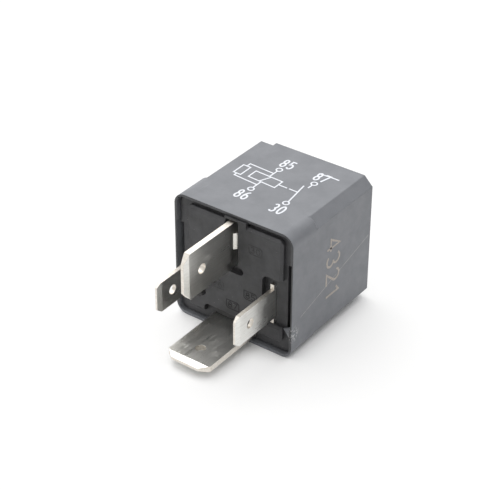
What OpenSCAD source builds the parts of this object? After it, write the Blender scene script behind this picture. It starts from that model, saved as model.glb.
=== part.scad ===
// Automotive power relay, lying on one side wall.
// X runs across the terminal face, Y runs from the blades to the closed back, Z is up.
// The origin is on the resting plane, under the middle of the whole relay.

/* [Housing] */

// Outer width and height of the square housing, mm
case_size = 26.5; // [26:0.1:29]
// Depth of the housing from its rim to its closed back, mm
case_depth = 25.5; // [24.5:0.1:29]
// Thickness of the four side walls, mm
wall = 0.95; // [0.8:0.05:1.1]
// Thickness of the side walls round the open mouth, which holds the base, mm
mouth_wall = 0.55; // [0.45:0.05:0.65]
// Thickness of the closed back, mm
back_wall = 1.1; // [0.9:0.1:1.4]
// Size of the bevels along the four long edges, mm
edge_bevel = 1.85; // [1.5:0.05:2]
// Length of the rounded front band, mm
band_length = 7.5; // [6:0.1:9]
// Outer corner radius of the front band, mm
band_radius = 2.4; // [2.2:0.1:2.8]
// Width of the step in the back, mm
step_width = 4.6; // [3.6:0.1:5.2]
// Depth of the step in the back, mm
step_depth = 1.1; // [0.8:0.1:1.3]
// Length of the relief in the lower back corner, mm
relief_length = 2.6; // [2:0.1:3]

/* [Base] */

// Thickness of the base plate, mm
plate_thick = 2.6; // [2.4:0.1:2.9]
// Distance of the base border behind the rim, mm
border_set = 0.8; // [0.7:0.1:1.1]
// Height of the raised panel over the border, mm
panel_rise = 1.2; // [1:0.1:1.4]
// Height of the side bays in the panel, mm
bay_height = 10.2; // [10:0.1:10.6]
// Height of the slits between the base and the side walls, mm
slit_height = 13.9; // [12.5:0.1:14.5]
// Width of the slits cut in the base, mm
slit_width = 0.8; // [0.6:0.1:0.9]

/* [Terminals] */

// Width of the two power blades, mm
power_width = 9.5; // [9.2:0.1:9.8]
// Thickness of the two power blades, mm
power_thick = 1.2; // [1:0.05:1.3]
// Reach of the two power blades in front of the rim, mm
power_reach = 14.5; // [12:0.1:17]
// Width of the two coil blades, mm
coil_width = 6.3; // [6:0.1:6.6]
// Thickness of the two coil blades, mm
coil_thick = 0.8; // [0.7:0.05:0.9]
// Reach of the two coil blades in front of the rim, mm
coil_reach = 11.3; // [9:0.1:13]
// Distance between the two coil blades, mm
coil_spread = 17.6; // [17.2:0.1:18]
// Distance of the coil blade middles below the middle of the housing, mm
coil_drop = 2.55; // [2.25:0.05:2.85]
// Diameter of the detent holes in the power blades, mm
power_hole = 2; // [1.6:0.1:2.4]
// Diameter of the detent holes in the coil blades, mm
coil_hole = 1.9; // [1.5:0.1:2.2]

/* [Magnet] */

// Thickness of the yoke plate, mm
yoke_thick = 1.6; // [1.3:0.1:1.7]
// Width of the yoke plate, mm
yoke_width = 13; // [12:0.1:13.6]
// Diameter of the core shank, mm
core_d = 5.2; // [4.6:0.1:5.4]
// Diameter of the pole head, mm
pole_d = 8.5; // [7.6:0.1:9]
// Distance of the winding inside the edges of the bobbin flanges, mm
winding_set = 0.5; // [0.4:0.1:1]
// Thickness of the armature, mm
armature_thick = 1.4; // [1.2:0.1:1.5]
// Angle between the open and the closed armature, degrees
open_angle = 3; // [2:0.1:3.4]

/* [Contacts] */

// Thickness of the contact spring, mm
spring_thick = 0.3; // [0.2:0.05:0.35]
// Width of the contact spring, mm
spring_width = 9; // [8:0.1:10]
// Diameter of the two contact faces, mm
contact_d = 3.6; // [3:0.1:3.8]
// Thickness of the contact heads, mm
contact_thick = 0.75; // [0.6:0.05:0.8]

/* [Resistor] */

// Length of the resistor body, mm
resistor_length = 6.4; // [5.6:0.1:7]
// Diameter of the resistor body, mm
resistor_d = 2; // [1.7:0.1:2.1]
// Diameter of the resistor leads, mm
lead_d = 0.6; // [0.4:0.1:0.7]
// Diameter of the winding wire ends, mm
wire_d = 0.3; // [0.2:0.05:0.4]

/* [Output] */

// Sub-part to show, or all

/* [Hidden] */

round_fn = 48;
// Clearance between the base and the cover
fit_gap = 0.12;
// Clearance of the blades in their slots
slot_gap = 0.05;
// Air left between metal pieces that come close
air_gap = 0.1;
// Overlap used where one cut passes another
cut = 1;

// The depth coordinates below start at the rim, which lies here
rim_y = -(case_depth - power_reach) / 2;

half = case_size / 2;
coil_height = half - coil_drop;
inner_half = half - wall;
inner_radius = band_radius - 0.8;
mouth_half = half - mouth_wall;
mouth_radius = band_radius - 1;
inner_back = case_depth - back_wall;
inner_top = case_size - wall;

// Base
base_half = mouth_half - fit_gap;
base_radius = mouth_radius - 0.1;
base_high = case_size - mouth_wall - fit_gap;
plate_back = border_set + plate_thick;
panel_y = border_set - panel_rise;
panel_half = half - 2.6;
// The panel and its bays sit a little to one side
panel_shift = 0.5;
panel_low = wall + 2;
panel_high = case_size - 1.5;
panel_corner = 1;
panel_bevel = 0.5;
border_step = 0.25;
bridge_end = 3.2;
bay_side = 6.4;
bay_radius = 1.2;
bay_low = coil_height + 0.75 - bay_height / 2;
slit_low = half + 0.3 - slit_height / 2;
slit_relief = 0.25;
slit_drop = 0.6;
lug_low = slit_low - 2.4;
lug_high = slit_low + 0.4;
lug_tip = slit_low - 0.4;
lug_reach = 1.4;
lug_thick = 0.5;
rib_out = inner_half - fit_gap - 0.5;
rib_thick = 0.9;

// Blades
power_corner_y = 1.5;
power_corner = 1.75;
coil_corner_y = 1;
coil_corner = 0.75;
bevel_length = 1.25;
bevel_share = 0.5;
power_hole_set = 4.8;
coil_hole_set = 4.25;
blade_room = 0.45;
high_blade = inner_top - power_width / 2 - blade_room;
low_room = 0.52;
low_blade = wall + low_room + power_thick / 2;
well_half = 1.5;
well_end = 0.35;
notch_side = power_width / 2 + 1.55;
notch_top = low_blade + 2.8;
notch_r = 0.9;
pocket_r = 0.8;
pocket_side = 1.9;
pocket_z = high_blade - power_width / 2 - 0.45;
pocket_floor = panel_y + 1.2;
lance_low = high_blade - 0.75;
lance_high = high_blade + 2.6;
lance_start = -0.6;
lance_crest = 0;
lance_rise = 0.6;
shoulder_width = coil_width + 2.1;
shoulder_reach = 0.7;
tail_low = coil_height - 2.6;
tail_high = coil_height - 0.6;
tail_end = plate_back + 3.6;
coil_side = coil_spread / 2;

// Heights of the contacts, which lie low under the coil
contact_room = 1.5;
contact_z = wall + contact_d / 2 + contact_room;
upright_top = contact_z + contact_d / 2 + 0.25;

// Yoke, core and bobbin
back_room = 4.5;
top_room = 4.55;
yoke_end = inner_back - back_room;
yoke_top = inner_top - top_room;
yoke_low = yoke_top - yoke_thick;
foot_y = plate_back + 0.8;
flange_gap = 0.2;
flange_low = upright_top + 0.3;
flange_size = yoke_low - flange_gap - flange_low;
flange_half = yoke_width / 2 - 0.2;
coil_axis = flange_low + flange_size / 2;
winding_d = flange_size - 2 * winding_set;
foot_low = coil_axis - winding_d / 2 + 1.3;
flange_thick = 1;
flange_wall = 0.9;
near_flange = foot_y + yoke_thick + flange_gap;
pole_thick = 1.2;
pole_y = yoke_end - pole_thick;
far_flange = pole_y - flange_gap - flange_thick;
spigot_d = core_d - 1.8;
spigot_head = 0.3;
tube_gap = 0.1;
tube_d = core_d + 2 * tube_gap + 2 * flange_wall;
prong_width = 1.2;
prong_low = yoke_low - 3.4;
prong_high = yoke_low - 0.9;
prong_y = plate_back - 1;
pad_in = 3;
pad_out = 5;

// Hinge of the armature, at the far edge of the yoke
hinge_y = yoke_end + air_gap / 2;
hinge_z = yoke_top - 0.6;
armature_y = yoke_end + air_gap;
armature_back = armature_y + armature_thick;
armature_half = yoke_width / 2 - 0.5;
armature_low = contact_z + contact_d / 2 + 1.25;
armature_bevel = 1.05;
yoke_bevel = 0.35;

// Contact spring, with its bend over the hinge
bend_in = armature_back - hinge_y + 0.3;
bend_mid_z = yoke_top - bend_in;
bend_mid_y = hinge_y - (0.3 - (hinge_z - bend_mid_z) * sin(open_angle)) / cos(open_angle);
leg_top = hinge_z + (bend_mid_z - hinge_z) * cos(open_angle)
    + (hinge_y - bend_mid_y) * sin(open_angle) + 0.02;
spring_start = foot_y + 1.8;
spring_low = contact_z - contact_d / 2 + slot_gap;
spring_tip = 7;
spring_neck = armature_low - 0.9;

// Contacts and the arm that carries the fixed one
contact_gap = 0.05;
contact_edge = 0.3;
moving_face = armature_back - contact_thick;
fixed_face = moving_face - contact_gap;
upright_y = fixed_face - contact_thick - power_thick;
arm_half = 3.5;
contact_shank = 1.8;
contact_head_d = 2.6;
contact_head = 0.4;

// Rivets
rivet_d = 1.2;
rivet_head_d = 2;
rivet_head = 0.4;
rivet_x = 2.6;
rivet_z = coil_axis + 3.4;
foot_rivet_x = 3.3;
foot_length = 4.6;
foot_side = 5.4;
foot_rivet_a = spring_start + 1.9;
foot_rivet_b = foot_rivet_a + 2.1;
foot_start = spring_start + 0.6;
foot_base = yoke_top + spring_thick;

// Arm that stops the spring when the relay is open
stop_thick = 0.6;
stop_low = contact_z - 1.05;
stop_high = stop_low + 2.2;
stop_side = inner_half - 4.3;
stop_in = 2.3;
stop_room = (hinge_z - stop_low) * tan(open_angle) + (armature_back + spring_thick - hinge_y)
    / cos(open_angle);
stop_y = hinge_y + stop_room + air_gap;

// Resistor across the coil blades
resistor_y = plate_back + 0.3 + resistor_d / 2;
resistor_z = foot_low - 0.4 - resistor_d / 2;
lead_side = coil_side - coil_thick / 2 - lead_d / 2;
lead_top = tail_low + 1.1;

// Wire ends of the winding, which pass below the foot of the yoke
notch_half = 0.5;
wire_z = foot_low - air_gap - slot_gap - wire_d / 2;
wire_wrap = winding_d / 2 + slot_gap + wire_d / 2;
wire_x = sqrt(pow(wire_wrap, 2) - pow(coil_axis - wire_z, 2));
wire_y = near_flange - 0.4;
wire_turn = coil_side - 1.5;

// ---- Helpers: a flat outline given depth along one axis ----

module along_x(from, to) {
    translate([from, 0, 0]) rotate([90, 0, 90]) linear_extrude(height = to - from) children();
}

module along_y(from, to) {
    translate([0, to, 0]) rotate([90, 0, 0]) linear_extrude(height = to - from) children();
}

module along_z(from, to) {
    translate([0, 0, from]) linear_extrude(height = to - from) children();
}

// Rod along the depth axis
module rod_y(x, z, d, from, to) {
    translate([x, to, z]) rotate([90, 0, 0]) cylinder(h = to - from, d = d, $fn = round_fn);
}

// Rod across the width
module rod_x(y, z, d, from, to) {
    translate([from, y, z]) rotate([0, 90, 0]) cylinder(h = to - from, d = d, $fn = round_fn);
}

// Upright rod
module rod_z(x, y, d, from, to) {
    translate([x, y, from]) cylinder(h = to - from, d = d, $fn = round_fn);
}

// Box between two corners
module block(low, high) {
    translate(low) cube(high - low);
}

// Square outline with round corners, centred across and standing on its low edge
module round_square(side_half, low, high, r) {
    translate([-side_half + r, low]) square([2 * (side_half - r), high - low]);
    translate([-side_half, low + r]) square([2 * side_half, high - low - 2 * r]);
    for (x = [-side_half + r, side_half - r])
        for (z = [low + r, high - r])
            translate([x, z]) circle(r = r, $fn = round_fn);
}

// Outline with bevelled corners, centred across
module bevel_square(side_half, low, high, c) {
    polygon([
        [-side_half + c, low], [side_half - c, low], [side_half, low + c],
        [side_half, high - c], [side_half - c, high], [-side_half + c, high],
        [-side_half, high - c], [-side_half, low + c]
    ]);
}

// Everything is drawn from the rim and moved to its place here
module placed() {
    translate([0, rim_y, 0]) children();
}

// The moving pieces are drawn closed and turned open here
module opened() {
    translate([0, hinge_y, hinge_z]) rotate([open_angle, 0, 0])
        translate([0, -hinge_y, -hinge_z]) children();
}

// Bent wire made of straight rods joined by balls
module wire(points, d) {
    for (i = [0 : len(points) - 2]) {
        run = points[i + 1] - points[i];
        translate(points[i])
            rotate([0, acos(run[2] / norm(run)), atan2(run[1], run[0])])
                cylinder(h = norm(run), d = d, $fn = round_fn);
    }
    for (i = [1 : len(points) - 2]) {
        translate(points[i]) sphere(d = d, $fn = round_fn);
    }
}

// ---- Housing ----

module cover() {
    color("dimgray") placed() {
        difference() {
            union() {
                along_y(0, band_length) round_square(half, 0, case_size, band_radius);
                along_y(band_length, case_depth) bevel_square(half, 0, case_size, edge_bevel);
            }
            // Hollow, left full behind the step and the corner relief
            difference() {
                along_y(-cut, inner_back)
                    round_square(inner_half, wall, inner_top, inner_radius);
                block([-half, inner_back - step_depth, 0],
                    [-half + step_width + wall, case_depth, case_size]);
                block([half - step_width + wall, case_depth - relief_length - wall, 0],
                    [half, case_depth, edge_bevel + wall]);
            }
            block([-half - cut, case_depth - step_depth, -cut],
                [-half + step_width, case_depth + cut, case_size + cut]);
            block([half - step_width + 2 * wall, case_depth - relief_length, -cut],
                [half + cut, case_depth + cut, edge_bevel]);
            // Rebate round the mouth, where the base seats
            along_y(-cut, plate_back)
                round_square(mouth_half, mouth_wall, case_size - mouth_wall, mouth_radius);
            for (side = [-1, 1])
                scale([side, 1, 1])
                    block([mouth_half - cut, -cut, slit_low],
                        [mouth_half + slit_relief, plate_back, slit_low + slit_height]);
        }
        // Lugs at the low ends of the side slits
        for (side = [-1, 1])
            scale([side, 1, 1])
                along_y(border_set - lug_thick - air_gap, border_set - air_gap)
                    polygon([
                        [mouth_half + slit_relief, lug_low],
                        [mouth_half + slit_relief, lug_high],
                        [mouth_half - lug_reach, lug_tip]
                    ]);
    }
}

// Outline of the raised panel, with the two side bays and the low notch cut out
module panel_outline() {
    difference() {
        union() {
            translate([panel_shift, 0])
                round_square(panel_half, panel_low, panel_high, panel_corner);
            translate([-well_half, panel_high - panel_corner])
                square([well_half + bridge_end, base_high - panel_high + panel_corner]);
        }
        translate([panel_shift, 0])
            for (side = [-1, 1])
                scale([side, 1]) bay_outline();
        round_square(notch_side, panel_low - 2 * notch_r, notch_top, notch_r);
    }
}

module bay_outline() {
    translate([bay_side, bay_low + bay_radius])
        square([panel_half, bay_height - 2 * bay_radius]);
    translate([bay_side + bay_radius, bay_low]) square([panel_half, bay_height]);
    for (z = [bay_low + bay_radius, bay_low + bay_height - bay_radius])
        translate([bay_side + bay_radius, z]) circle(r = bay_radius, $fn = round_fn);
}

// Wedge cut off a level front edge of the panel, below it (way 1) or above it (way -1)
module edge_wedge(start, end, height, way) {
    along_x(start, end) polygon([
        [panel_y - cut, height - way * (panel_bevel + cut)],
        [panel_y - cut, height + way * cut],
        [panel_y + panel_bevel + cut, height + way * cut]
    ]);
}

// Bevels round the front of the panel and along the low edge of each bay
module panel_bevels() {
    edge_wedge(-half, -well_half, panel_high, 1);
    edge_wedge(bridge_end, half, panel_high, 1);
    edge_wedge(-half, half, panel_low, -1);
    translate([panel_shift, 0, 0])
        for (side = [-1, 1])
            scale([side, 1, 1]) {
                edge_wedge(bay_side + bay_radius, half, bay_low, 1);
                along_z(panel_low - cut, panel_high + cut) polygon([
                    [panel_half - panel_bevel - cut, panel_y - cut],
                    [panel_half + cut, panel_y - cut],
                    [panel_half + cut, panel_y + panel_bevel + cut]
                ]);
            }
}

module base() {
    color("black") placed() difference() {
        union() {
            // The front edge of the border is stepped back from the mouth of the cover
            along_y(border_set, plate_back)
                round_square(base_half - border_step, mouth_wall + fit_gap + border_step,
                    base_high - border_step, base_radius);
            along_y(border_set + border_step, plate_back)
                round_square(base_half, mouth_wall + fit_gap, base_high, base_radius);
            difference() {
                along_y(panel_y, border_set + border_step + air_gap) panel_outline();
                panel_bevels();
            }
            // Pads the yoke foot stands on, and the ribs beside the coil
            for (side = [-1, 1])
                scale([side, 1, 1]) {
                    block([pad_in, plate_back - cut, foot_low + 1],
                        [pad_out, foot_y, yoke_low - 1]);
                    block([rib_out - rib_thick, plate_back - cut, tail_high + 1.2],
                        [rib_out, near_flange + 3, yoke_top]);
                }
        }
        // Slits beside the cover
        for (side = [-1, 1])
            scale([side, 1, 1])
                block([base_half - slit_width, border_set - cut, slit_low - slit_drop],
                    [half, plate_back + cut, slit_low - slit_drop + slit_height]);
        // Well and slot of the high power blade
        block([-well_half, panel_y - cut, high_blade - power_width / 2 - well_end],
            [well_half, border_set, high_blade + power_width / 2 + well_end]);
        block([-power_thick / 2 - slot_gap, 0, high_blade - power_width / 2 - slot_gap],
            [power_thick / 2 + slot_gap, plate_back + cut,
                high_blade + power_width / 2 + slot_gap]);
        along_y(panel_y - cut, pocket_floor) hull()
            for (side = [-1, 1])
                translate([side * pocket_side, pocket_z]) circle(r = pocket_r, $fn = round_fn);
        // Slot of the low power blade
        block([-power_width / 2 - slot_gap, 0, low_blade - power_thick / 2 - slot_gap],
            [power_width / 2 + slot_gap, plate_back + cut,
                low_blade + power_thick / 2 + slot_gap]);
        // Slots of the coil blades
        for (side = [-1, 1])
            block([side * coil_side - coil_thick / 2 - slot_gap, 0,
                    coil_height - coil_width / 2 - slot_gap],
                [side * coil_side + coil_thick / 2 + slot_gap, plate_back + cut,
                    coil_height + coil_width / 2 + slot_gap]);
        // Pockets of the yoke prongs and slot of the stop arm
        for (side = [-1, 1])
            scale([side, 1, 1])
                block([yoke_width / 2 - prong_width - slot_gap, prong_y - slot_gap,
                        prong_low - slot_gap],
                    [yoke_width / 2 + slot_gap, plate_back + cut, prong_high + slot_gap]);
        block([stop_side - slot_gap, prong_y - slot_gap, stop_low - slot_gap],
            [stop_side + stop_thick + slot_gap, plate_back + cut, stop_high + slot_gap]);
    }
}

// ---- Terminals ----

// Blade pointing along -Y from the rim, its width upright and its middle at the origin
module blade(width, thick, reach, inner, corner_y, corner, hole_d, hole_set) {
    difference() {
        intersection() {
            along_x(-thick / 2, thick / 2) polygon([
                [-reach, corner - width / 2], [corner_y - reach, -width / 2],
                [inner, -width / 2], [inner, width / 2],
                [corner_y - reach, width / 2], [-reach, width / 2 - corner]
            ]);
            along_z(-width / 2, width / 2) polygon([
                [-bevel_share * thick / 2, -reach], [bevel_share * thick / 2, -reach],
                [thick / 2, bevel_length - reach], [thick / 2, inner],
                [-thick / 2, inner], [-thick / 2, bevel_length - reach]
            ]);
        }
        rod_x(hole_set - reach, 0, hole_d, -thick, thick);
    }
}

module terminal_30() {
    color("silver") placed() difference() {
        union() {
            translate([0, 0, high_blade])
                blade(power_width, power_thick, power_reach, plate_back, power_corner_y,
                    power_corner, power_hole, power_hole_set);
            // Tail behind the base, with its foot bent over on the yoke
            block([-power_thick / 2, plate_back - cut, foot_base],
                [power_thick / 2, foot_start + foot_length, foot_base + 3.2]);
            block([-power_thick / 2, foot_start, foot_base],
                [foot_side, foot_start + foot_length, foot_base + power_thick]);
            // Lance that holds the blade down on the floor of its well
            along_z(lance_low, lance_high) polygon([
                [0, lance_start], [power_thick / 2, lance_start],
                [power_thick / 2 + lance_rise, lance_crest],
                [power_thick / 2 + lance_rise, border_set], [0, border_set]
            ]);
        }
        for (y = [foot_rivet_a, foot_rivet_b])
            rod_z(foot_rivet_x, y, rivet_d + 2 * slot_gap, foot_base - cut,
                foot_base + power_thick + cut);
    }
}

module terminal_87() {
    color("silver") placed() difference() {
        union() {
            translate([0, 0, low_blade]) rotate([0, 90, 0])
                blade(power_width, power_thick, power_reach, plate_back, power_corner_y,
                    power_corner, power_hole, power_hole_set);
            // Inner arm and the upright that carries the fixed contact
            block([-arm_half, plate_back - cut, low_blade - power_thick / 2],
                [arm_half, upright_y + power_thick, low_blade + power_thick / 2]);
            block([-arm_half, upright_y, low_blade - power_thick / 2],
                [arm_half, upright_y + power_thick, upright_top]);
        }
        rod_y(0, contact_z, contact_shank + 2 * slot_gap, upright_y - cut,
            upright_y + power_thick + cut);
    }
}

// Coil blade with its seating shoulders and its narrow inner tail
module coil_terminal(side) {
    translate([side * coil_side, 0, 0]) {
        translate([0, 0, coil_height])
            blade(coil_width, coil_thick, coil_reach, plate_back, coil_corner_y,
                coil_corner, coil_hole, coil_hole_set);
        block([-coil_thick / 2, border_set - shoulder_reach, coil_height - shoulder_width / 2],
            [coil_thick / 2, border_set, coil_height + shoulder_width / 2]);
        block([-coil_thick / 2, plate_back - cut, tail_low],
            [coil_thick / 2, tail_end, tail_high]);
    }
}

module terminal_85() {
    color("silver") placed() coil_terminal(1);
}

module terminal_86() {
    color("silver") placed() coil_terminal(-1);
}

// ---- Magnet ----

module yoke() {
    color("slategray") placed() difference() {
        union() {
            along_x(-yoke_width / 2, yoke_width / 2) polygon([
                [foot_y, foot_low], [foot_y + yoke_thick, foot_low],
                [foot_y + yoke_thick, yoke_low], [yoke_end, yoke_low],
                [yoke_end, yoke_top - yoke_bevel], [yoke_end - yoke_bevel, yoke_top],
                [foot_y + yoke_thick, yoke_top], [foot_y, yoke_top - yoke_thick]
            ]);
            for (side = [-1, 1])
                scale([side, 1, 1])
                    block([yoke_width / 2 - prong_width, prong_y, prong_low],
                        [yoke_width / 2, foot_y + cut, prong_high]);
        }
        rod_y(0, coil_axis, spigot_d + 2 * slot_gap, foot_y - cut, foot_y + yoke_thick + cut);
        for (y = [foot_rivet_a, foot_rivet_b])
            rod_z(foot_rivet_x, y, rivet_d + 2 * slot_gap, yoke_low - cut, yoke_top + cut);
    }
}

module core() {
    color("lightsteelblue") placed() {
        rod_y(0, coil_axis, spigot_d, foot_y - spigot_head, foot_y + yoke_thick + air_gap);
        rod_y(0, coil_axis, spigot_d + 1, foot_y - spigot_head, foot_y);
        rod_y(0, coil_axis, core_d, foot_y + yoke_thick, yoke_end);
        rod_y(0, coil_axis, pole_d, pole_y, yoke_end);
    }
}

module flange_outline() {
    translate([0, coil_axis - flange_size / 2])
        bevel_square(flange_half, 0, flange_size, 1.6);
}

module bobbin() {
    color("ivory") placed() difference() {
        union() {
            along_y(near_flange, near_flange + flange_thick) flange_outline();
            along_y(far_flange, far_flange + flange_thick) flange_outline();
            rod_y(0, coil_axis, tube_d, near_flange, far_flange + flange_thick);
        }
        rod_y(0, coil_axis, core_d + 2 * tube_gap, near_flange - cut,
            far_flange + flange_thick + cut);
        // Notches for the two wire ends
        for (side = [-1, 1])
            block([side * wire_x - notch_half, near_flange - cut, coil_axis - flange_size],
                [side * wire_x + notch_half, near_flange + flange_thick + cut,
                    wire_z + notch_half]);
    }
}

module winding() {
    color("chocolate") placed() difference() {
        rod_y(0, coil_axis, winding_d, near_flange + flange_thick + slot_gap,
            far_flange - slot_gap);
        rod_y(0, coil_axis, tube_d + slot_gap, near_flange, far_flange + flange_thick);
    }
}

module armature() {
    color("slategray") placed() opened() difference() {
        along_x(-armature_half, armature_half) polygon([
            [armature_y, armature_low], [armature_back, armature_low],
            [armature_back, hinge_z - armature_bevel],
            [armature_back - armature_bevel + 0.1, hinge_z], [armature_y, hinge_z]
        ]);
        for (side = [-1, 1])
            rod_y(side * rivet_x, rivet_z, rivet_d + 2 * slot_gap, armature_y - cut,
                armature_back + cut);
    }
}

// ---- Spring and contacts ----

module contact_spring() {
    color("peru") placed() {
        difference() {
            block([-spring_width / 2, spring_start, yoke_top],
                [spring_width / 2, bend_mid_y + 0.01, yoke_top + spring_thick]);
            for (y = [foot_rivet_a, foot_rivet_b])
                rod_z(foot_rivet_x, y, rivet_d + 2 * slot_gap, yoke_top - cut,
                    yoke_top + spring_thick + cut);
        }
        // Bend over the hinge, a little short of a right angle
        translate([0, bend_mid_y, bend_mid_z])
            along_x(-spring_width / 2, spring_width / 2) difference() {
                circle(r = bend_in + spring_thick, $fn = round_fn);
                circle(r = bend_in, $fn = round_fn);
                translate([-2 * bend_in, -2 * bend_in]) square([2 * bend_in, 4 * bend_in]);
                rotate(open_angle) translate([-2 * bend_in, -2 * bend_in])
                    square([4 * bend_in, 2 * bend_in]);
            }
        opened() difference() {
            along_y(armature_back, armature_back + spring_thick) polygon([
                [-spring_tip / 2, spring_low], [spring_tip / 2, spring_low],
                [spring_tip / 2, spring_neck], [spring_width / 2, armature_low + 2],
                [spring_width / 2, leg_top], [-spring_width / 2, leg_top],
                [-spring_width / 2, armature_low + 2], [-spring_tip / 2, spring_neck]
            ]);
            for (side = [-1, 1])
                rod_y(side * rivet_x, rivet_z, rivet_d + 2 * slot_gap, armature_y,
                    armature_back + cut);
            rod_y(0, contact_z, contact_shank + 2 * slot_gap, armature_y, armature_back + cut);
        }
    }
}

module spring_rivets() {
    color("silver") placed() opened() for (side = [-1, 1]) {
        rod_y(side * rivet_x, rivet_z, rivet_d, armature_y + air_gap,
            armature_back + spring_thick + rivet_head);
        rod_y(side * rivet_x, rivet_z, rivet_head_d, armature_back + spring_thick,
            armature_back + spring_thick + rivet_head);
    }
}

module yoke_rivets() {
    color("silver") placed() for (y = [foot_rivet_a, foot_rivet_b]) {
        rod_z(foot_rivet_x, y, rivet_d, yoke_low, foot_base + power_thick + rivet_head);
        rod_z(foot_rivet_x, y, rivet_head_d, foot_base + power_thick,
            foot_base + power_thick + rivet_head);
    }
}

// Contact rivet along the depth axis, its face at the origin and its shank towards +Y
module contact(grip) {
    rotate([-90, 0, 0]) rotate_extrude($fn = round_fn) polygon([
        [0, 0], [contact_d / 2 - contact_edge, 0], [contact_d / 2, contact_edge],
        [contact_d / 2, contact_thick], [contact_shank / 2, contact_thick],
        [contact_shank / 2, contact_thick + grip], [contact_head_d / 2, contact_thick + grip],
        [contact_head_d / 2, contact_thick + grip + contact_head],
        [0, contact_thick + grip + contact_head]
    ]);
}

module moving_contact() {
    color("gold") placed() opened()
        translate([0, moving_face, contact_z]) contact(spring_thick);
}

module fixed_contact() {
    color("gold") placed() translate([0, fixed_face, contact_z]) rotate([0, 0, 180])
        contact(power_thick);
}

module stop_arm() {
    color("silver") placed() {
        block([stop_side, prong_y, stop_low], [stop_side + stop_thick, stop_y + stop_thick,
            stop_high]);
        block([stop_in, stop_y, stop_low], [stop_side + stop_thick, stop_y + stop_thick,
            stop_high]);
    }
}

// ---- Resistor and wire ends ----

module resistor() {
    color("tan") placed() translate([-resistor_length / 2, resistor_y, resistor_z])
        rotate([0, 90, 0]) rotate_extrude($fn = round_fn) polygon([
            [0, 0], [resistor_d / 2 - 0.3, 0], [resistor_d / 2, 0.3],
            [resistor_d / 2, 1.3], [resistor_d / 2 - 0.12, 1.6],
            [resistor_d / 2 - 0.12, resistor_length - 1.6],
            [resistor_d / 2, resistor_length - 1.3], [resistor_d / 2, resistor_length - 0.3],
            [resistor_d / 2 - 0.3, resistor_length], [0, resistor_length]
        ]);
}

module resistor_lead(side) {
    scale([side, 1, 1]) wire([
        [resistor_length / 2, resistor_y, resistor_z],
        [lead_side, resistor_y, resistor_z],
        [lead_side, resistor_y, lead_top]
    ], lead_d);
}

module resistor_lead_85() {
    color("silver") placed() resistor_lead(1);
}

module resistor_lead_86() {
    color("silver") placed() resistor_lead(-1);
}

// Wire end from the winding, through the flange notch and below the yoke, to its blade
module coil_lead(side) {
    scale([side, 1, 1]) wire([
        [wire_x, near_flange + flange_thick + notch_half, wire_z],
        [wire_x, wire_y, wire_z],
        [wire_turn, wire_y, wire_z],
        [coil_side - coil_thick / 2 - wire_d / 2, tail_end - 0.6, tail_high - 0.5]
    ], wire_d);
}

module coil_lead_85() {
    color("sienna") placed() coil_lead(1);
}

module coil_lead_86() {
    color("sienna") placed() coil_lead(-1);
}

cover();
base();
terminal_30();
terminal_87();
terminal_85();
terminal_86();
yoke();
core();
bobbin();
winding();
armature();
contact_spring();
spring_rivets();
yoke_rivets();
moving_contact();
fixed_contact();
stop_arm();
resistor();
resistor_lead_85();
resistor_lead_86();
coil_lead_85();
coil_lead_86();
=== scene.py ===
import bpy
import numpy as np
from math import cos, radians, sin
from mathutils import Matrix, Vector


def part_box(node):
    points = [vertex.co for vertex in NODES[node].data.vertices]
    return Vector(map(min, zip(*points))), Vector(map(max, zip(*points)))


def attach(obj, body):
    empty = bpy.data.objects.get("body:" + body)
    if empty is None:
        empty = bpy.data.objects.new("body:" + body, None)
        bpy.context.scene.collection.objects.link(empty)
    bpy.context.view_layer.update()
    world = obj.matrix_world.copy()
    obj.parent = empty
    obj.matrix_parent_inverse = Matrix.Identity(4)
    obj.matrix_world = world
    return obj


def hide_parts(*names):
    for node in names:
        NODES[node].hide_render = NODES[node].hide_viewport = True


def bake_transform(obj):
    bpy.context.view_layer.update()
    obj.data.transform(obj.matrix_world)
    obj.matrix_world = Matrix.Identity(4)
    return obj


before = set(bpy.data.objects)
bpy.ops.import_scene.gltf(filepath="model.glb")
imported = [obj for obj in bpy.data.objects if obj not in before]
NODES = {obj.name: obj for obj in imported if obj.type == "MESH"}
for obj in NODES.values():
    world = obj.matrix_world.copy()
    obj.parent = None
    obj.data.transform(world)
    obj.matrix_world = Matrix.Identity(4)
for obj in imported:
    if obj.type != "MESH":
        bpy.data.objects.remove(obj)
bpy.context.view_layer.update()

# Lengths below are in millimetres, with depth measured from the rim of the cover.
MM = 0.001
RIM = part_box("cover")[0].y
SIZE = (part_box("cover")[1].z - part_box("cover")[0].z) / MM
HALF = SIZE / 2


def place(points):
    """Turns rows of (across, depth from the rim, height) in millimetres into metres."""
    return np.asarray(points, float) * MM + np.array([0, RIM, 0])


def extent(node):
    """Low and high corner of a CAD piece in millimetres, with its depth from the rim."""
    low, high = (np.array(v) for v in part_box(node))
    shift = np.array([0, RIM, 0])
    return (low - shift) / MM, (high - shift) / MM


# ---------------------------------------------------------------- camera

CAMERA_AZIMUTH = radians(36.425)
CAMERA_ELEVATION = radians(33.268)
CAMERA_ROLL = radians(0.177)
CAMERA_DISTANCE = 275.677
CAMERA_TARGET = place([2.781, 0, 21.067])
CAMERA_LENS = 113.55

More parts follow.
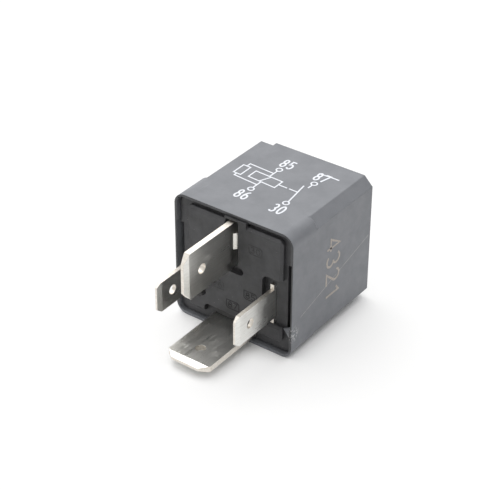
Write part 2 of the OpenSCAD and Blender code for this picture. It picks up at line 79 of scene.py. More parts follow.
back = np.array([sin(CAMERA_AZIMUTH) * cos(CAMERA_ELEVATION),
                 -cos(CAMERA_AZIMUTH) * cos(CAMERA_ELEVATION), sin(CAMERA_ELEVATION)])
level = np.array([cos(CAMERA_AZIMUTH), sin(CAMERA_AZIMUTH), 0])
upward = np.cross(back, level)
right = cos(CAMERA_ROLL) * level + sin(CAMERA_ROLL) * upward
upward = -sin(CAMERA_ROLL) * level + cos(CAMERA_ROLL) * upward
camera_data = bpy.data.cameras.new("camera")
camera_data.lens = CAMERA_LENS
camera_data.sensor_width = 36
camera_data.clip_start = 0.01
camera = bpy.data.objects.new("camera", camera_data)
turn = Matrix([right, upward, back]).transposed().to_4x4()
camera.matrix_world = Matrix.Translation(Vector(CAMERA_TARGET + back * CAMERA_DISTANCE * MM)) @ turn
bpy.context.scene.collection.objects.link(camera)
bpy.context.scene.camera = camera


# ---------------------------------------------------------------- finishes

def add_node(tree, kind, inputs=None, **settings):
    """Adds a node to a tree; its inputs are values or the sockets that feed them."""
    made = tree.nodes.new(kind)
    for key, value in settings.items():
        setattr(made, key, value)
    for key, value in (inputs or {}).items():
        if isinstance(value, bpy.types.NodeSocket):
            tree.links.new(value, made.inputs[key])
        elif value is not None:
            made.inputs[key].default_value = value
    return made


class Finish:
    """A procedural finish: one shader, fed by patterns on Object coordinates in millimetres."""

    def __init__(self, name, **shader):
        self.material = bpy.data.materials.new(name)
        self.material.use_nodes = True
        self.tree = self.material.node_tree
        self.tree.nodes.clear()
        self.shader = self.node("ShaderNodeBsdfPrincipled")
        self.output = self.node("ShaderNodeOutputMaterial")
        self.tree.links.new(self.shader.outputs[0], self.output.inputs[0])
        self.coords = self.node("ShaderNodeTexCoord")
        self.mm = self.node("ShaderNodeMapping", {
            "Vector": self.coords.outputs["Object"], "Scale": (1 / MM,) * 3,
            "Location": (0, -RIM / MM, 0)}).outputs[0]
        self.axes = self.node("ShaderNodeSeparateXYZ", {0: self.mm}).outputs
        self.normal = None
        self.set(**shader)

    def node(self, kind, inputs=None, **settings):
        return add_node(self.tree, kind, inputs, **settings)

    def set(self, **inputs):
        """Writes values or links to the shader's sockets, named with _ for a space."""
        for key, value in inputs.items():
            socket = self.shader.inputs[key.replace("_", " ")]
            if isinstance(value, bpy.types.NodeSocket):
                self.tree.links.new(value, socket)
            else:
                socket.default_value = (*value, 1) if isinstance(value, tuple) else value

    def calc(self, operation, a, b=0.0, c=None, clamp=False):
        return self.node("ShaderNodeMath", {0: a, 1: b, 2: c}, operation=operation,
                         use_clamp=clamp).outputs[0]

    def noise(self, scale, detail=3.0, rough=0.55, stretch=(1, 1, 1), shift=(0, 0, 0), warp=0.0):
        """Fractal noise from 0 to 1, scale in features per millimetre."""
        where = self.node("ShaderNodeMapping", {"Vector": self.mm, "Scale": stretch,
                                                "Location": shift}).outputs[0]
        return self.node("ShaderNodeTexNoise", {
            "Vector": where, "Scale": scale, "Detail": detail, "Roughness": rough,
            "Distortion": warp}).outputs[0]

    def cells(self, scale, shift=(0, 0, 0), stretch=(1, 1, 1)):
        """Distance to the nearest of scattered points, in cell widths."""
        where = self.node("ShaderNodeMapping", {"Vector": self.mm, "Location": shift,
                                                "Scale": stretch}).outputs[0]
        return self.node("ShaderNodeTexVoronoi", {"Vector": where, "Scale": scale}).outputs[0]

    def ramp(self, value, low, high, to_low=0.0, to_high=1.0, smooth=True):
        """Maps low..high onto to_low..to_high, eased and held at both ends."""
        kind = "SMOOTHSTEP" if smooth else "LINEAR"
        return self.node("ShaderNodeMapRange", {
            "Value": value, "From Min": low, "From Max": high, "To Min": to_low,
            "To Max": to_high}, interpolation_type=kind).outputs[0]

    def mix(self, share, a, b):
        """Colour a where share is 0, colour b where it is 1."""
        full = [(*v, 1) if isinstance(v, tuple) else v for v in (a, b)]
        return self.node("ShaderNodeMix", {0: share, 6: full[0], 7: full[1]},
                         data_type="RGBA").outputs[2]

    def round_edges(self, radius):
        """Softens the shading of sharp edges by a radius in millimetres; returns an edge mask."""
        soft = self.node("ShaderNodeBevel", {"Radius": radius * MM}, samples=6).outputs[0]
        flat = self.node("ShaderNodeNewGeometry").outputs["Normal"]
        same = self.node("ShaderNodeVectorMath", {0: soft, 1: flat}, operation="DOT_PRODUCT")
        self.normal = soft
        self.set(Normal=soft)
        return self.ramp(self.calc("SUBTRACT", 1.0, same.outputs["Value"]), 0.01, 0.2)

    def bump(self, height, depth, strength=1.0):
        """Raises the surface by depth millimetres where height is 1."""
        self.normal = self.node("ShaderNodeBump", {
            "Height": height, "Distance": depth * MM, "Strength": strength,
            "Normal": self.normal}).outputs[0]
        self.set(Normal=self.normal)

    def near_line(self, a, b, start, end, width):
        """1 on a straight line between two points of the plane (a, b), falling to 0 at its edge."""
        run = np.array(end, float) - np.array(start, float)
        length = float(np.hypot(*run))
        along, across = run / length, np.array([-run[1], run[0]]) / length
        offset_a = self.calc("SUBTRACT", a, start[0])
        offset_b = self.calc("SUBTRACT", b, start[1])
        parts = []
        for way in (along, across):
            parts.append(self.calc("ADD", self.calc("MULTIPLY", offset_a, float(way[0])),
                                   self.calc("MULTIPLY", offset_b, float(way[1]))))
        inside = self.calc("MULTIPLY", self.ramp(parts[0], 0, 0.4),
                           self.ramp(parts[0], length - 0.4, length, 1, 0))
        off = self.calc("ABSOLUTE", parts[1])
        return self.calc("MULTIPLY", inside, self.ramp(off, width / 4, width / 2, 1, 0))

    def near_spot(self, a, b, middle, inner, outer):
        """1 within the inner radius of a point of the plane (a, b), falling to 0 at the outer."""
        da = self.calc("SUBTRACT", a, middle[0])
        db = self.calc("SUBTRACT", b, middle[1])
        far = self.calc("SQRT", self.calc("ADD", self.calc("MULTIPLY", da, da),
                                          self.calc("MULTIPLY", db, db)))
        return self.ramp(far, inner, outer, 1, 0)


def cover_finish():
    """Satin grey moulded plastic: clouded colour, spark-eroded grain, scuffs, pale edges as a
    painted highlight, and painted shade on the forward rim.
    """
    f = Finish("cover_plastic", Specular_IOR_Level=0.45)
    edge = f.round_edges(0.28)
    x, y, z = f.axes
    cloud = f.noise(0.22, 4)
    colour = f.mix(f.ramp(cloud, 0.3, 0.7), (0.166, 0.173, 0.189), (0.192, 0.199, 0.216))
    speck = f.ramp(f.noise(2.6, 2), 0.62, 0.78)
    colour = f.mix(f.calc("MULTIPLY", speck, 0.10), colour, (0.40, 0.41, 0.43))
    scuff = f.calc("MULTIPLY", f.ramp(f.noise(0.8, 5, 0.6, (1, 0.18, 2.4)), 0.60, 0.72),
                   f.ramp(f.noise(0.16, 2, 0.5, shift=(7, 3, 1)), 0.5, 0.7))
    colour = f.mix(f.calc("MULTIPLY", scuff, 0.22), colour, (0.33, 0.34, 0.36))
    # Painted highlight: the rounded edges are lightened in colour to stand in for the light they
    # catch
    colour = f.mix(f.calc("MULTIPLY", edge, f.ramp(f.noise(0.9, 4), 0.35, 0.65, 0.12, 0.4)),
                   colour, (0.36, 0.37, 0.39))
    # Painted shade: the forward-facing rim of the mouth is coloured darker than the walls, and less
    # dark near the resting wall as painted light bounced from the table
    ahead = f.node("ShaderNodeSeparateXYZ", {0: f.coords.outputs["Normal"]}).outputs[1]
    rim = f.calc("MULTIPLY", f.ramp(ahead, -0.9, -0.6, 1, 0), f.ramp(y, 0.05, 0.3, 1, 0))
    rim = f.calc("MULTIPLY", rim, f.ramp(z, 0.2, 2.4, 0.15, 1))
    colour = f.mix(rim, colour, (0.058, 0.059, 0.063))
    on_side = f.ramp(x, HALF - 0.3, HALF - 0.1)
    line = f.calc("MULTIPLY", on_side, f.near_line(y, z, (2.6, 8.0), (25.1, 14.4), 0.16))
    line = f.calc("MULTIPLY", line, f.ramp(f.noise(0.7, 3), 0.35, 0.6, 0.25, 0.9))
    colour = f.mix(line, colour, (0.40, 0.39, 0.37))
    chip = f.calc("MULTIPLY", f.near_spot(y, z, (0.6, 5.4), 0.5, 2.2),
                  f.ramp(f.noise(2.2, 4, 0.65), 0.50, 0.62))
    chip = f.calc("MULTIPLY", chip, f.ramp(x, HALF - 1.2, HALF - 0.6))
    colour = f.mix(f.calc("MULTIPLY", chip, 0.8), colour, (0.62, 0.62, 0.62))
    rough = f.ramp(f.noise(0.6, 4), 0.3, 0.7, 0.40, 0.52)
    f.set(Base_Color=colour, Roughness=f.calc("ADD", rough, f.calc("MULTIPLY", scuff, 0.12)))
    f.bump(f.noise(4.5, 4, 0.6), 0.012)
    f.bump(line, -0.02)
    return f.material


def base_finish():
    """Black glass-filled plastic: grey bloom, fine grain, pale dust specks, and pale edges as a
    painted highlight.
    """
    f = Finish("base_plastic", Specular_IOR_Level=0.4)
    edge = f.round_edges(0.14)
    bloom = f.ramp(f.noise(0.25, 4), 0.3, 0.7)
    colour = f.mix(bloom, (0.037, 0.037, 0.039), (0.056, 0.056, 0.059))
    dust = f.ramp(f.cells(1.1), 0.035, 0.075, 1, 0)
    dust = f.calc("MULTIPLY", dust, f.ramp(f.noise(1.3, 2, shift=(2, 5, 1)), 0.48, 0.62))
    fine = f.ramp(f.noise(7.0, 2), 0.72, 0.80)
    dust = f.calc("ADD", dust, f.calc("MULTIPLY", fine, 0.3), clamp=True)
    colour = f.mix(f.calc("MULTIPLY", dust, 0.7), colour, (0.42, 0.42, 0.40))
    # Painted highlight: the edges are lightened in colour to stand in for light caught along them
    colour = f.mix(f.calc("MULTIPLY", edge, 0.3), colour, (0.13, 0.13, 0.135))
    f.set(Base_Color=colour, Roughness=f.ramp(f.noise(0.9, 4), 0.3, 0.7, 0.38, 0.55))
    f.bump(f.noise(5.0, 4, 0.6), 0.012)
    f.bump(dust, 0.03)
    return f.material


def tinned_finish(name, thin_axis):
    """Bright tinned brass: rolled faces with streaks and stains, matt sheared edges."""
    f = Finish(name, Metallic=1.0)
    f.round_edges(0.06)
    facing = f.node("ShaderNodeSeparateXYZ", {0: f.coords.outputs["Normal"]}).outputs[thin_axis]
    rolled = f.ramp(f.calc("ABSOLUTE", facing), 0.55, 0.8)
    streak = f.noise(1.1, 5, 0.65, (3.2, 0.10, 3.2))
    stain = f.ramp(f.noise(0.35, 5, 0.6, shift=(3, 1, 4)), 0.45, 0.75)
    face = f.mix(f.ramp(streak, 0.35, 0.7), (0.86, 0.855, 0.82), (0.78, 0.77, 0.735))
    face = f.mix(f.calc("MULTIPLY", stain, 0.3), face, (0.62, 0.61, 0.575))
    shear = f.noise(2.4, 4, 0.7, (1, 1, 1) if thin_axis == 2 else (0.2, 1, 1))
    edge_colour = f.mix(f.ramp(shear, 0.3, 0.7), (0.86, 0.82, 0.76), (0.72, 0.67, 0.60))
    scratch = f.ramp(f.noise(2.2, 2, 0.5, (4, 0.12, 4), warp=0.4), 0.62, 0.66)
    scratch = f.calc("MULTIPLY", scratch, f.ramp(f.noise(0.4, 2), 0.45, 0.6))
    rough = f.calc("ADD", f.ramp(streak, 0.3, 0.75, 0.27, 0.36), f.calc("MULTIPLY", stain, 0.08))
    rough = f.calc("ADD", rough, f.calc("MULTIPLY", scratch, 0.2))
    rough = f.calc("ADD", f.calc("MULTIPLY", rolled, rough),
                   f.calc("MULTIPLY", f.calc("SUBTRACT", 1.0, rolled), 0.42))
    f.set(Base_Color=f.mix(rolled, edge_colour, face), Roughness=rough)
    f.bump(streak, 0.004)
    f.bump(scratch, 0.004)
    f.bump(f.noise(1.6, 4, 0.6), 0.008)
    return f.material


def metal_finish(name, colour, worn, rough, stretch=(1, 1, 1), grain=2.0, metallic=1.0):
    """Plain metal: two tones along a stretched grain, spots, roughness and bump to match."""
    f = Finish(name, Metallic=metallic)
    f.round_edges(0.06)
    streak = f.noise(grain, 5, 0.6, stretch)
    spot = f.ramp(f.noise(0.7, 4, shift=(5, 2, 8)), 0.5, 0.75)
    tone = f.mix(f.ramp(streak, 0.3, 0.7), colour, worn)
    tone = f.mix(f.calc("MULTIPLY", spot, 0.3), tone, tuple(v * 0.6 for v in worn))
    f.set(Base_Color=tone, Roughness=f.ramp(streak, 0.3, 0.7, rough - 0.06, rough + 0.08))
    f.bump(streak, 0.012)
    return f.material


def bobbin_finish():
    """Natural glass-filled plastic: warm ivory with short fibre marks and gloss patches."""
    f = Finish("bobbin_plastic", Specular_IOR_Level=0.5)
    f.round_edges(0.12)
    fibre = f.ramp(f.noise(2.5, 3, 0.6, (1, 0.25, 3)), 0.45, 0.7)
    tone = f.mix(f.ramp(f.noise(0.3, 3), 0.3, 0.7), (0.66, 0.62, 0.50), (0.76, 0.72, 0.61))
    f.set(Base_Color=f.mix(f.calc("MULTIPLY", fibre, 0.3), tone, (0.86, 0.84, 0.76)),
          Roughness=f.ramp(fibre, 0, 1, 0.35, 0.55))
    f.bump(fibre, 0.01)
    return f.material


def wire_finish():
    """Enamelled copper: dark orange under a clear coat, with tone changes from turn to turn."""
    f = Finish("enamel_wire", Metallic=0.75, Coat_Weight=0.6, Coat_Roughness=0.12)
    tone = f.mix(f.ramp(f.noise(1.2, 3, 0.6, (0.3, 4, 0.3)), 0.3, 0.7),
                 (0.52, 0.20, 0.07), (0.70, 0.32, 0.13))
    f.set(Base_Color=tone, Roughness=f.ramp(f.noise(2.0, 3), 0.3, 0.7, 0.25, 0.4))
    f.bump(f.noise(3.0, 3), 0.01)
    return f.material


def core_finish():
    """Turned soft iron: fine rings round the core's axis, with oil-dark patches."""
    f = Finish("core_steel", Metallic=1.0)
    f.round_edges(0.08)
    low, high = extent("core")
    dx = f.calc("SUBTRACT", f.axes[0], float(low[0] + high[0]) / 2)
    dz = f.calc("SUBTRACT", f.axes[2], float(low[2] + high[2]) / 2)
    radius = f.calc("SQRT", f.calc("ADD", f.calc("MULTIPLY", dx, dx), f.calc("MULTIPLY", dz, dz)))
    ring = f.calc("SINE", f.calc("MULTIPLY", radius, 42.0))
    patch = f.ramp(f.noise(0.5, 4), 0.4, 0.7)
    f.set(Base_Color=f.mix(patch, (0.55, 0.55, 0.56), (0.40, 0.39, 0.38)),
          Roughness=f.ramp(patch, 0, 1, 0.25, 0.4))
    f.bump(ring, 0.006)
    return f.material


def resistor_finish():
    """Lacquered resistor body: pale ground with colour bands across its length, glossy."""
    f = Finish("resistor_body", Coat_Weight=0.5, Coat_Roughness=0.1)
    tone = f.mix(f.ramp(f.noise(1.0, 3), 0.3, 0.7), (0.24, 0.38, 0.46), (0.28, 0.43, 0.52))
    bands = [(-2.3, (0.30, 0.13, 0.05)), (-1.0, (0.02, 0.02, 0.02)), (0.1, (0.45, 0.03, 0.02)),
             (2.3, (0.45, 0.30, 0.08))]
    for middle, colour in bands:
        off = f.calc("ABSOLUTE", f.calc("SUBTRACT", f.axes[0], middle))
        tone = f.mix(f.ramp(off, 0.25, 0.33, 1, 0), tone, colour)
    f.set(Base_Color=tone, Roughness=f.ramp(f.noise(2.0, 3), 0.3, 0.7, 0.25, 0.4))
    f.bump(f.noise(2.0, 3), 0.015)
    return f.material


def ink_finish(name, pale, thin, cover_share):
    """Dry ink: two tones where the film is thick or thin, slightly raised grain."""
    f = Finish(name, Specular_IOR_Level=0.3)
    film = f.ramp(f.noise(3.2, 4, 0.65), 0.5 - cover_share, 0.5 + cover_share)
    f.set(Base_Color=f.mix(film, thin, pale), Roughness=f.ramp(film, 0, 1, 0.65, 0.5))
    f.bump(f.noise(6.0, 3), 0.006)
    return f.material


def moulded_finish(name, deep, shallow):
    """Outline of a moulded mark: glossier than the base, and darker as painted shade of its relief,
    with light grain.
    """
    f = Finish(name, Specular_IOR_Level=0.35)
    tone = f.mix(f.ramp(f.noise(1.5, 3), 0.3, 0.7), deep, shallow)
    f.set(Base_Color=tone, Roughness=f.ramp(f.noise(2.0, 3), 0.3, 0.7, 0.42, 0.6))
    f.bump(f.noise(5.0, 3), 0.01)
    return f.material


FINISHES = {
    "cover": cover_finish(),
    "base": base_finish(),
    "upright_blade": tinned_finish("tinned_upright", 0),
    "flat_blade": tinned_finish("tinned_flat", 2),
    "yoke_steel": metal_finish("yoke_steel", (0.60, 0.61, 0.63), (0.47, 0.48, 0.51), 0.30,
                               (1, 0.2, 1)),
    "bobbin": bobbin_finish(),
    "wire": wire_finish(),
    "core": core_finish(),
    "spring": metal_finish("spring_copper", (0.74, 0.44, 0.26), (0.62, 0.34, 0.19), 0.26,
                           (4, 0.2, 0.2)),
    "contact": metal_finish("contact_silver", (0.82, 0.81, 0.78), (0.66, 0.64, 0.60), 0.34),
    "rivet": metal_finish("rivet_metal", (0.66, 0.65, 0.62), (0.50, 0.49, 0.46), 0.32),
    "resistor": resistor_finish(),
    "lead": metal_finish("lead_wire", (0.74, 0.73, 0.70), (0.58, 0.57, 0.54), 0.28),
    "white_ink": ink_finish("white_ink", (0.82, 0.84, 0.88), (0.64, 0.66, 0.71), 0.3),
    "tan_ink": ink_finish("tan_ink", (0.46, 0.41, 0.36), (0.33, 0.30, 0.275), 0.2),
    # Moulded and faint marks are painted shade: darker than the base to stand in for the shade of
    # their relief
    "moulded": moulded_finish("moulded_mark", (0.010, 0.010, 0.011), (0.018, 0.018, 0.020)),
    "faint_mark": moulded_finish("faint_mark", (0.030, 0.030, 0.031), (0.044, 0.044, 0.046)),
}
NODE_FINISH = {
    "cover": "cover", "base": "base", "terminal_30": "upright_blade",
    "terminal_85": "upright_blade", "terminal_86": "upright_blade",
    "terminal_87": "flat_blade", "stop_arm": "upright_blade", "yoke": "yoke_steel",
    "armature": "yoke_steel", "core": "core", "bobbin": "bobbin", "winding": "wire",
    "coil_lead_85": "wire", "coil_lead_86": "wire", "contact_spring": "spring",
    "spring_rivets": "rivet", "yoke_rivets": "rivet", "moving_contact": "contact",
    "fixed_contact": "contact", "resistor": "resistor", "resistor_lead_85": "lead",
    "resistor_lead_86": "lead",
}
for node_name, finish_name in NODE_FINISH.items():
    for slot in NODES[node_name].material_slots:
        slot.material = FINISHES[finish_name]


# ---------------------------------------------------------------- surfaces

def lattice(rows, columns, wrap=False, first=0):
    """Faces of a grid of points, row by row; wrap joins the last column to the first."""
    i, j = np.meshgrid(np.arange(rows - 1), np.arange(columns if wrap else columns - 1),
                       indexing="ij")
    k = (j + 1) % columns
    corners = [i * columns + j, i * columns + k, (i + 1) * columns + k, (i + 1) * columns + j]
    return np.stack(corners, -1).reshape(-1, 4) + first


def piece(name, parts, finish, body, smooth=True):
    """One mesh from (points in millimetres, faces) parts, given its finish and its body."""
    points, faces, first = [], [], 0
    for part_points, part_faces in parts:
        part_points = np.asarray(part_points, float).reshape(-1, 3)
        points.append(part_points)
        faces += [[first + v for v in face] for face in np.asarray(part_faces).tolist()]
        first += len(part_points)
    mesh = bpy.data.meshes.new(name)
    mesh.from_pydata(place(np.concatenate(points)), [], faces)
    mesh.polygons.foreach_set("use_smooth", np.full(len(faces), smooth))
    mesh.materials.append(FINISHES[finish])
    mesh.update()
    made = bpy.data.objects.new(name, mesh)
    bpy.context.scene.collection.objects.link(made)
    if body:
        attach(made, body)
    return made


def stroke(path, width, height, plane, closed=False):
    """A raised line of ink or plastic along a flat path.

    At each path point the two edges lie half a width to either side, along the mean of the
    two neighbouring normals, lengthened so that the line keeps its width round the corner.
    A section of four points (low left, high left, high right, low right) runs along it.
    """
    path = np.asarray(path, float)
    if closed and np.allclose(path[0], path[-1]):
        path = path[:-1]
    run = np.roll(path, -1, 0) - path
    run /= np.linalg.norm(run, axis=1)[:, None]
    before = np.roll(run, 1, 0)
    if not closed:
        run[-1], before[0] = run[-2], run[0]
    side = np.stack([-(run + before)[:, 1], (run + before)[:, 0]], 1)
    length = np.linalg.norm(side, axis=1)[:, None]
    side = side / length * (width / 2) / np.maximum(length / 2, 0.5)
    origin, across, up = (np.array(v, float) for v in plane)
    out = np.cross(across, up)
    left, right_edge = path + side, path - side
    section = []
    for edge, lift in ((left, 0), (left, height), (right_edge, height), (right_edge, 0)):
        section.append(origin + edge[:, :1] * across + edge[:, 1:] * up + lift * out)
    points = np.stack(section, 1).reshape(-1, 3)
    count = len(path)
    faces = lattice(count, 4, wrap=True)
    if closed:
        last = np.array([[(count - 1) * 4 + j, (count - 1) * 4 + (j + 1) % 4, (j + 1) % 4, j]
                         for j in range(4)])
        faces = np.concatenate([faces, last])
    else:
        end = (count - 1) * 4
        faces = np.concatenate([faces, [[1, 2, 3, 0], [end + 3, end + 2, end + 1, end]]])
    return points, faces


def arc(cx, cy, rx, ry, start, end, count=18):
    """Points of an ellipse's arc between two angles in degrees."""
    angle = np.radians(np.linspace(start, end, count))
    return np.stack([cx + rx * np.cos(angle), cy + ry * np.sin(angle)], 1)


# Plain numerals as strokes in a cell 1 wide and 1.5 high; True marks a closed stroke.
CELL_HIGH = 1.5
NUMERALS = {
    "0": [(arc(0.5, 0.75, 0.42, 0.75, 0, 360, 28), True)],
    "1": [([(0.2, 1.2), (0.58, 1.5), (0.58, 0)], False)],
    "2": [(np.concatenate([arc(0.48, 1.08, 0.40, 0.42, 165, -30, 14), [(0.06, 0), (0.95, 0)]]),
           False)],
    "3": [(arc(0.45, 1.12, 0.38, 0.38, 150, -80, 14), False),
          (arc(0.45, 0.39, 0.42, 0.39, 85, -150, 16), False)],
    "4": [([(0.72, 0), (0.72, 1.5), (0.05, 0.42), (0.98, 0.42)], False)],
    "5": [(np.concatenate([[(0.88, 1.5), (0.18, 1.5), (0.12, 0.80)],
                           arc(0.48, 0.46, 0.42, 0.46, 125, -150, 16)]), False)],
    "6": [(arc(0.5, 0.44, 0.40, 0.44, 0, 360, 24), True),
          (arc(0.92, 0.52, 0.82, 0.98, 178, 102, 10), False)],
    "7": [([(0.05, 1.5), (0.93, 1.5), (0.35, 0)], False)],
    "8": [(arc(0.5, 1.12, 0.34, 0.38, 0, 360, 22), True),
          (arc(0.5, 0.40, 0.40, 0.40, 0, 360, 24), True)],
}


LAYER = 0.0012


def layered(strokes, axis):
    """Lifts each stroke a hair above the one before it, so that crossing strokes share no face."""
    for order, (points, faces) in enumerate(strokes):
        points[:, axis] += LAYER * (order + 1) * (points[:, axis] > points[:, axis].min())
    return strokes


def number(text, middle, height, width, line, lift, plane, pitch):
    """Strokes of a number centred on a point of the plane, one cell every pitch millimetres."""
    parts = []
    for place_in_row, letter in enumerate(text):
        shift = (place_in_row - (len(text) - 1) / 2) * pitch
        for path, closed in NUMERALS[letter]:
            path = np.array(path, float)
            flat = np.stack([(path[:, 0] - 0.5) * width + shift,
                             (path[:, 1] - CELL_HIGH / 2) * height / CELL_HIGH], 1)
            parts.append(stroke(flat + np.array(middle), line, lift, plane, closed))
    return parts


# ---------------------------------------------------------------- print on the upper wall

INK = 0.012
top_plane = ((0, 0, SIZE), (1, 0, 0), (0, 1, 0))
CIRCUIT = 0.28
RING = 0.58
rings = {"85": (-2.33, 17.6), "86": (-2.54, 8.98), "87": (5.7, 17.33), "30": (5.43, 8.76)}
labels = {"85": (-2.12, 20.15), "86": (-2.6, 6.5), "87": (5.65, 19.85), "30": (5.45, 6.25)}
symbol = []
for ring in rings.values():
    symbol.append(stroke(arc(*ring, RING, RING, 0, 360, 28), CIRCUIT, INK, top_plane, True))
boxes = [
    [(-8.74, 15.15), (-7.1, 15.12), (-7.1, 11.93), (-8.74, 11.96)],
    [(-5.54, 14.7), (0.65, 14.4), (0.65, 11.85), (-5.54, 12.28)],
]
for corners in boxes:
    symbol.append(stroke(corners, CIRCUIT, INK, top_plane, True))
lines = [
    [(-2.35, 17.0), (-2.38, 14.55)],
    [(-2.36, 15.87), (-7.97, 16.17), (-7.97, 15.2)],
    [(-2.52, 9.6), (-2.5, 12.05)],
    [(-2.51, 10.78), (-7.98, 11.18), (-7.98, 11.9)],
    [(-2.95, 12.15), (-1.92, 14.5)],
    [(0.8, 13.12), (2.6, 13.08)],
    [(3.05, 13.1), (5.0, 13.05)],
    [(5.52, 9.35), (4.62, 15.6)],
    [(5.66, 15.4), (5.68, 16.75)],
]
for path in lines:
    symbol.append(stroke(path, CIRCUIT, INK, top_plane))
piece("printed_symbol", layered(symbol, 2), "white_ink", "housing", smooth=False)
digits = []
for text, middle in labels.items():
    digits += number(text, middle, 2.62, 1.1, 0.36, INK, top_plane, pitch=1.5)
digits.append(stroke([(4.35, 20.85), (6.6, 21.02), (8.75, 21.0)], 0.34, INK, top_plane))
piece("printed_numbers", layered(digits, 2), "white_ink", "housing",
      smooth=False)

# Number stamped on the side wall, reading towards the table
side_plane = ((HALF, 0, 0), (0, 0, -1), (0, 1, 0))
stamp = number("4321", (-13.3, 12.97), 4.1, 2.75, 0.46, INK, side_plane, pitch=3.6)
piece("side_number", layered(stamp, 0), "tan_ink", "housing", smooth=False)


# ---------------------------------------------------------------- moulded marks on the base

PANEL = extent("base")[0][1]
panel_plane = ((0, PANEL, 0), (1, 0, 0), (0, 0, 1))
MARK_HALF = (1.42, 0.9)
MARK_CUT = 0.35
marks = {"30": (5.35, 20.9, "faint_mark"), "86": (-3.2, 10.5, "faint_mark"),
         "85": (4.3, 10.65, "moulded"), "87": (0.3, 7.0, "moulded")}
for text, (x, z, finish) in marks.items():
    w, h = MARK_HALF
    corners = [(-w + MARK_CUT, -h), (w, -h), (w, h - MARK_CUT), (w - MARK_CUT, h), (-w, h),
               (-w, -h + MARK_CUT)]
    strokes = [stroke([(x + a, z + b) for a, b in corners], 0.2, 0.02, panel_plane, True)]
    strokes += number(text, (x, z), 1.15, 0.95, 0.2, 0.02, panel_plane, pitch=1.2)
    piece("moulded_" + text, strokes, finish, "housing", smooth=False)


# ---------------------------------------------------------------- coil and spring leaf

def coil_turns():
    """Winding as one closed sleeve.

    Outer radius = full radius less a groove that is deepest between neighbouring turns:
    groove depth times (1 - |cos(pi * (depth / pitch + angle / 2 pi))|), so the grooves run
    round as a screw. Flat ends and a plain inner tube close it.
    """
    low, high = extent("winding")
    middle_x, middle_z = (low[0] + high[0]) / 2, (low[2] + high[2]) / 2
    full = (high[0] - low[0]) / 2 - 0.01
    pitch, groove, tube = 0.42, 0.12, 3.65
    around, steps = 72, 8
    turns = int(round((high[1] - low[1]) / pitch))
    depth = np.linspace(low[1] + 0.01, high[1] - 0.01, turns * steps + 1)
    angle = np.linspace(0, 2 * np.pi, around, endpoint=False)
    y, a = np.meshgrid(depth, angle, indexing="ij")
    wave = np.abs(np.cos(np.pi * ((y - low[1]) / pitch + a / (2 * np.pi))))
    radius = full - groove * (1 - wave)
    y = np.concatenate([y[:1], y, y[-1:], y[:1]])
    radius = np.concatenate([np.full_like(a[:1], tube), radius, np.full_like(a[:1], tube),
                             np.full_like(a[:1], tube)])
    a = np.concatenate([a[:1]] * (len(y)))
    points = np.stack([middle_x + radius * np.cos(a), y, middle_z + radius * np.sin(a)], -1)
    faces = lattice(len(y), len(angle), wrap=True)
    return points.reshape(-1, 3), faces[:, ::-1]


turns = piece("winding_turns", [coil_turns()], "wire", "housing")
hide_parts("winding")


def spring_leaf():
    """Contact spring as one strip: flat foot, bend over the hinge, leg down to the contact.

    Its middle line is a straight run, an arc and a straight run; half the thickness is added
    along the line's normal, and the width follows the leg's taper.
    """
    low, high = extent("contact_spring")
    thick = 0.3
    bend_radius = 1.75 + thick / 2
    bend_depth = 19.71
    open_angle = radians(3)
    wide, narrow = 4.5, 3.5
    taper_low, taper_high = 6.4, 9.3
    flat_z = high[2] - thick / 2
    centre = np.array([bend_depth, flat_z - bend_radius])
    foot = np.stack([np.linspace(low[1], centre[0], 12), np.full(12, flat_z)], 1)
    angle = np.linspace(np.pi / 2, open_angle, 20)[1:]
    bend = centre + bend_radius * np.stack([np.cos(angle), np.sin(angle)], 1)
    reach = (bend[-1][1] - low[2] - 0.02) / cos(open_angle)
    leg_run = np.linspace(0, reach, 30)[1:]
    leg = bend[-1] + leg_run[:, None] * np.array([sin(open_angle), -cos(open_angle)])
    line = np.concatenate([foot, bend, leg])
    run = np.gradient(line, axis=0)
    run /= np.linalg.norm(run, axis=1)[:, None]
    normal = np.stack([-run[:, 1], run[:, 0]], 1)
    half_width = np.where(line[:, 0] > centre[0] + 1, np.interp(
        line[:, 1], [low[2], taper_low, taper_high], [narrow, narrow, wide]), wide)
    rows = []
    for side, lift in ((-1, 1), (1, 1), (1, -1), (-1, -1)):
        edge = line + normal * lift * thick / 2
        rows.append(np.stack([side * half_width, edge[:, 0], edge[:, 1]], 1))
    points = np.stack(rows, 1).reshape(-1, 3)
    faces = lattice(len(line), 4, wrap=True)
    end = (len(line) - 1) * 4
    caps = [[0, 1, 2, 3], [end + 3, end + 2, end + 1, end]]
    return points, np.concatenate([faces[:, ::-1], caps])


leaf = piece("spring_leaf", [spring_leaf()], "spring", None, smooth=False)
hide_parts("contact_spring")
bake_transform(leaf)


# ---------------------------------------------------------------- table, light and air

def table_finish():
    """White card: near-white with the faintest cloud, so that shadows show on it."""
    f = Finish("white_card", Roughness=0.9, Specular_IOR_Level=0.1)
    f.set(Base_Color=f.mix(f.ramp(f.noise(0.02, 3), 0.3, 0.7), (0.93, 0.93, 0.928),
                           (0.95, 0.95, 0.948)))
    f.bump(f.noise(0.8, 3), 0.01)
    seen = f.node("ShaderNodeLightPath").outputs
    lit = f.calc("MAXIMUM", seen["Is Camera Ray"], seen["Is Glossy Ray"])
    # Close to the part the card keeps its full contact shadow
    open_air = f.node("ShaderNodeAmbientOcclusion", {"Distance": 5 * MM}, samples=8).outputs["AO"]
    lit = f.calc("MULTIPLY", lit, f.ramp(open_air, 0.35, 1.0, 0.0, 0.6))
    glow = f.node("ShaderNodeEmission", {"Color": (1, 1, 0.998, 1), "Strength": 0.95})
    both = f.node("ShaderNodeMixShader", {0: lit, 1: f.shader.outputs[0], 2: glow.outputs[0]})
    f.tree.links.new(both.outputs[0], f.output.inputs[0])
    return f.material


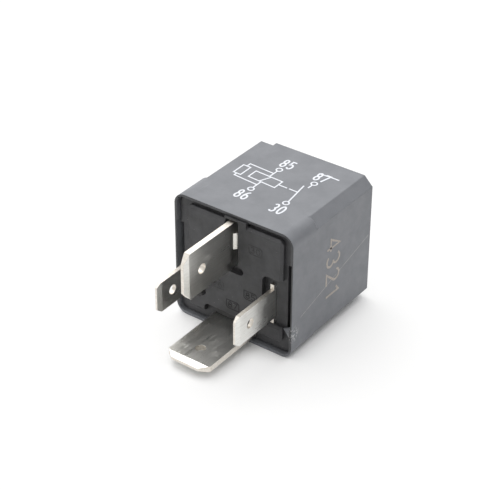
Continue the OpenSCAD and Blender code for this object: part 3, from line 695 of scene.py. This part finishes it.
TABLE_REACH = 1.5
TABLE_LINES = 13
span = np.linspace(-TABLE_REACH, TABLE_REACH, TABLE_LINES)
gx, gy = np.meshgrid(span, span, indexing="ij")
card = bpy.data.meshes.new("table")
card.from_pydata(np.stack([gx, gy, np.zeros_like(gx)], -1).reshape(-1, 3), [],
                 lattice(TABLE_LINES, TABLE_LINES).tolist())
card.materials.append(table_finish())
table = bpy.data.objects.new("table", card)
bpy.context.scene.collection.objects.link(table)

bpy.context.scene.view_settings.view_transform = "Standard"
world = bpy.data.worlds.new("studio")
bpy.context.scene.world = world
world.use_nodes = True
air = world.node_tree
air.nodes.clear()

# The tent is brightest overhead and to the left, and dim to the right.
TENT_AXIS = (-0.45, 0.30, 0.84)
way = add_node(air, "ShaderNodeTexCoord").outputs["Generated"]
toward = add_node(air, "ShaderNodeVectorMath", {0: way, 1: TENT_AXIS},
                  operation="DOT_PRODUCT").outputs["Value"]
tent = add_node(air, "ShaderNodeMapRange", {
    "Value": toward, "From Min": -0.35, "From Max": 0.95, "To Min": 0.22, "To Max": 1.45},
    interpolation_type="SMOOTHSTEP").outputs[0]
seen = add_node(air, "ShaderNodeLightPath")
strength = add_node(air, "ShaderNodeMix", {0: seen.outputs["Is Camera Ray"], 2: tent, 3: 0.98},
                    data_type="FLOAT").outputs[0]
glow = add_node(air, "ShaderNodeBackground", {"Color": (1.0, 1.0, 1.0, 1), "Strength": strength})
add_node(air, "ShaderNodeOutputWorld", {0: glow.outputs[0]})


def lamp(name, spot, aim, size, power, colour):
    """A square soft lamp at a spot, facing a point, both in metres."""
    data = bpy.data.lights.new(name, "AREA")
    data.shape = "SQUARE"
    data.size = size
    data.energy = power
    data.color = colour
    made = bpy.data.objects.new(name, data)
    made.location = spot
    made.rotation_euler = (Vector(aim) - Vector(spot)).to_track_quat("-Z", "Y").to_euler()
    bpy.context.scene.collection.objects.link(made)


lamp("key_lamp", (-0.35, 0.15, 0.75), (0, 0, 0.01), 0.55, 2.0, (1.0, 0.99, 0.97))
